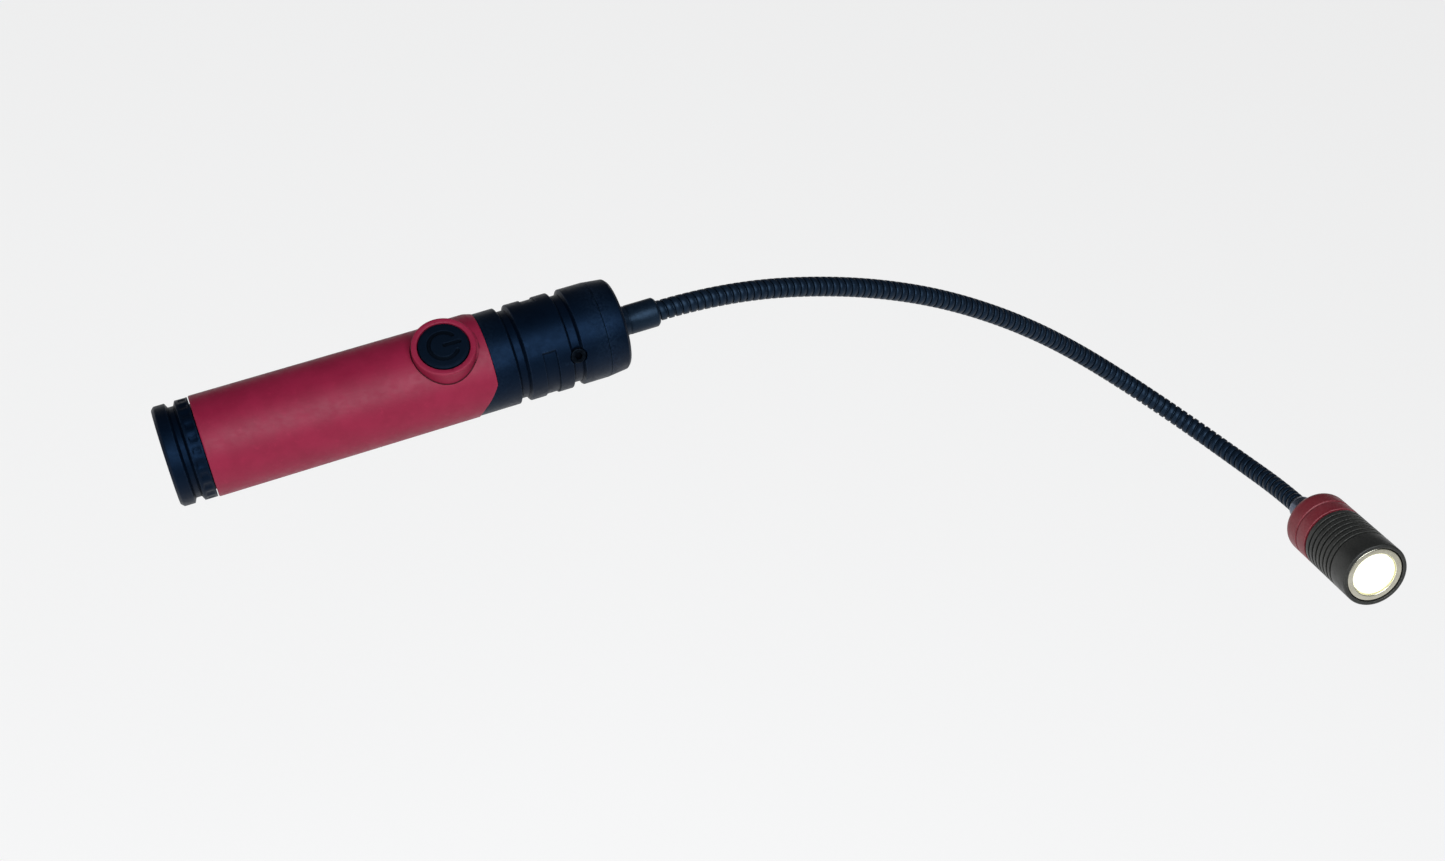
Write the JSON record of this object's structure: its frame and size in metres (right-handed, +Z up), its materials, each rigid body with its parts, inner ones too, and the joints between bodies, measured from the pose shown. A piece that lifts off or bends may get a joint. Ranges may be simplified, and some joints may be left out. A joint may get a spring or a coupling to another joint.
{
  "type": "flexible inspection light",
  "caption": "Hand-held inspection light: round handle with a push button, a stay-put gooseneck and a small finned lamp head with a magnet ring round its lens.",
  "frame": {"origin": "under the middle of the tool's box, on the surface it lies on", "axes": "+X along the handle towards the neck as seen from above, +Z up from the surface the tool lies on, with the power button on top"},
  "size_m": [0.3978, 0.1654, 0.0662],
  "materials": {
    "red_plastic": "satin",
    "red_anodised": "anodised satin",
    "black_plastic": "satin",
    "black_anodised": "anodised",
    "black_rubber": "matte",
    "neck_steel": "semi-gloss black",
    "ferrule_steel": "satin",
    "spring_steel": "polished",
    "magnet_nickel": "nickel plated",
    "circuit_board": "solder mask",
    "led_phosphor": "silicone",
    "reflector_mirror": "metallised",
    "lens_clear": "polished",
    "cell_wrap": "printed sleeve, no lettering",
    "lead_jacket": "matte"
  },
  "bodies": {
    "handle": {"handle_body": "red_plastic", "collar": "black_plastic", "collar_screw_left": "black_anodised", "collar_screw_right": "black_anodised", "front_ring": "black_anodised", "front_ring_seal": "black_rubber", "neck_socket": "black_anodised", "neck_root": "neck_steel", "handle_lead": "lead_jacket", "battery_carrier": "black_plastic", "battery_cell_1": "cell_wrap", "battery_cell_2": "cell_wrap", "battery_cell_3": "cell_wrap", "front_contact_spring": "spring_steel", "contact_board": "circuit_board", "switch_board": "circuit_board", "driver_chip": "black_plastic", "tactile_switch": "black_plastic", "button_retainer": "black_plastic"},
    "button": {"power_button": "black_rubber", "switch_plunger": "spring_steel"},
    "tail_contact": {"tail_spring": "spring_steel", "tail_contact": "spring_steel"},
    "tail_cap": {"tail_cap": "black_plastic", "tail_seal": "black_rubber"},
    "neck_01": {"neck_link_01": "neck_steel", "neck_lead_01": "lead_jacket"},
    "neck_02": {"neck_link_02": "neck_steel", "neck_lead_02": "lead_jacket"},
    "neck_03": {"neck_link_03": "neck_steel", "neck_lead_03": "lead_jacket"},
    "neck_04": {"neck_link_04": "neck_steel", "neck_lead_04": "lead_jacket"},
    "neck_05": {"neck_link_05": "neck_steel", "neck_lead_05": "lead_jacket"},
    "neck_06": {"neck_link_06": "neck_steel", "neck_lead_06": "lead_jacket"},
    "neck_07": {"neck_link_07": "neck_steel", "neck_lead_07": "lead_jacket"},
    "neck_08": {"neck_link_08": "neck_steel", "neck_lead_08": "lead_jacket"},
    "neck_09": {"neck_link_09": "neck_steel", "neck_lead_09": "lead_jacket"},
    "neck_10": {"neck_link_10": "neck_steel", "neck_lead_10": "lead_jacket"},
    "neck_11": {"neck_link_11": "neck_steel", "neck_lead_11": "lead_jacket"},
    "head": {"neck_tip": "neck_steel", "head_ferrule": "ferrule_steel", "head_cap": "red_anodised", "head_seal": "black_rubber", "head_barrel": "black_anodised", "led_board": "circuit_board", "led_emitter": "led_phosphor", "reflector": "reflector_mirror", "lens_gasket": "black_rubber", "lens": "lens_clear", "nose_magnet": "magnet_nickel", "head_lead": "lead_jacket"}
  },
  "joints": [
    {"name": "button_press", "type": "slide", "parent": "handle", "child": "button", "axis": [0.2234, 0.3572, -0.9069], "range_m": [0, 0.001], "stiffness_N_per_m": 1500, "springref_m": -0.0006},
    {"name": "tail_travel", "type": "slide", "parent": "handle", "child": "tail_contact", "axis": [-0.971, 0, -0.2392], "range_m": [0, 0.0075]},
    {"name": "tail_turn", "type": "hinge", "parent": "tail_contact", "child": "tail_cap", "pos_m": [-0.19524, 0.06623, 0.01553], "axis": [-0.971, 0, -0.2392], "range_deg": [0, 900]},
    {"name": "neck_bend_01", "type": "hinge", "parent": "handle", "child": "neck_01", "pos_m": [-0.02319, 0.06623, 0.05792], "axis": [-0.0855, 0.934, 0.3469], "range_deg": [-40, 15]},
    {"name": "neck_bend_02", "type": "hinge", "parent": "neck_01", "child": "neck_02", "pos_m": [0.00212, 0.0682, 0.05887], "axis": [0.0876, -0.3397, 0.9364], "range_deg": [-23, 31]},
    {"name": "neck_bend_03", "type": "hinge", "parent": "neck_02", "child": "neck_03", "pos_m": [0.02742, 0.06934, 0.05692], "axis": [0.0445, 0.9415, 0.334], "range_deg": [-30, 24]},
    {"name": "neck_bend_04", "type": "hinge", "parent": "neck_03", "child": "neck_04", "pos_m": [0.05254, 0.06947, 0.0532], "axis": [0.1826, -0.3364, 0.9239], "range_deg": [-23, 32]},
    {"name": "neck_bend_05", "type": "hinge", "parent": "neck_04", "child": "neck_05", "pos_m": [0.07733, 0.0681, 0.0478], "axis": [0.1797, 0.9367, 0.3004], "range_deg": [-32, 23]},
    {"name": "neck_bend_06", "type": "hinge", "parent": "neck_05", "child": "neck_06", "pos_m": [0.10143, 0.06595, 0.0401], "axis": [0.316, -0.3441, 0.8841], "range_deg": [-24, 30]},
    {"name": "neck_bend_07", "type": "hinge", "parent": "neck_06", "child": "neck_07", "pos_m": [0.12483, 0.06308, 0.03062], "axis": [0.3146, 0.9179, 0.242], "range_deg": [-29, 25]},
    {"name": "neck_bend_08", "type": "hinge", "parent": "neck_07", "child": "neck_08", "pos_m": [0.14733, 0.05819, 0.01992], "axis": [0.2774, -0.3327, 0.9013], "range_deg": [-16, 39]},
    {"name": "neck_bend_09", "type": "hinge", "parent": "neck_08", "child": "neck_09", "pos_m": [0.16834, 0.04815, 0.00976], "axis": [0.7447, 0.6613, 0.09], "range_deg": [-8, 34]},
    {"name": "neck_bend_10", "type": "hinge", "parent": "neck_09", "child": "neck_10", "pos_m": [0.1851, 0.03013, 0.00349], "axis": [-0.0921, -0.0317, 0.9952], "range_deg": [0, 45]},
    {"name": "neck_bend_11", "type": "hinge", "parent": "neck_10", "child": "neck_11", "pos_m": [0.19337, 0.00611, 0.00349], "axis": [0.9838, 0.0248, 0.1775], "range_deg": [-5, 39]},
    {"name": "neck_bend_12", "type": "hinge", "parent": "neck_11", "child": "head", "pos_m": [0.19294, -0.0186, 0.00935], "axis": [-0.1765, 0.3057, 0.9356], "range_deg": [-16, 38]}
  ],
  "couplings": [
    {"joint": "tail_turn", "follows": "tail_travel", "rad_per_m": 2094.4}
  ]
}
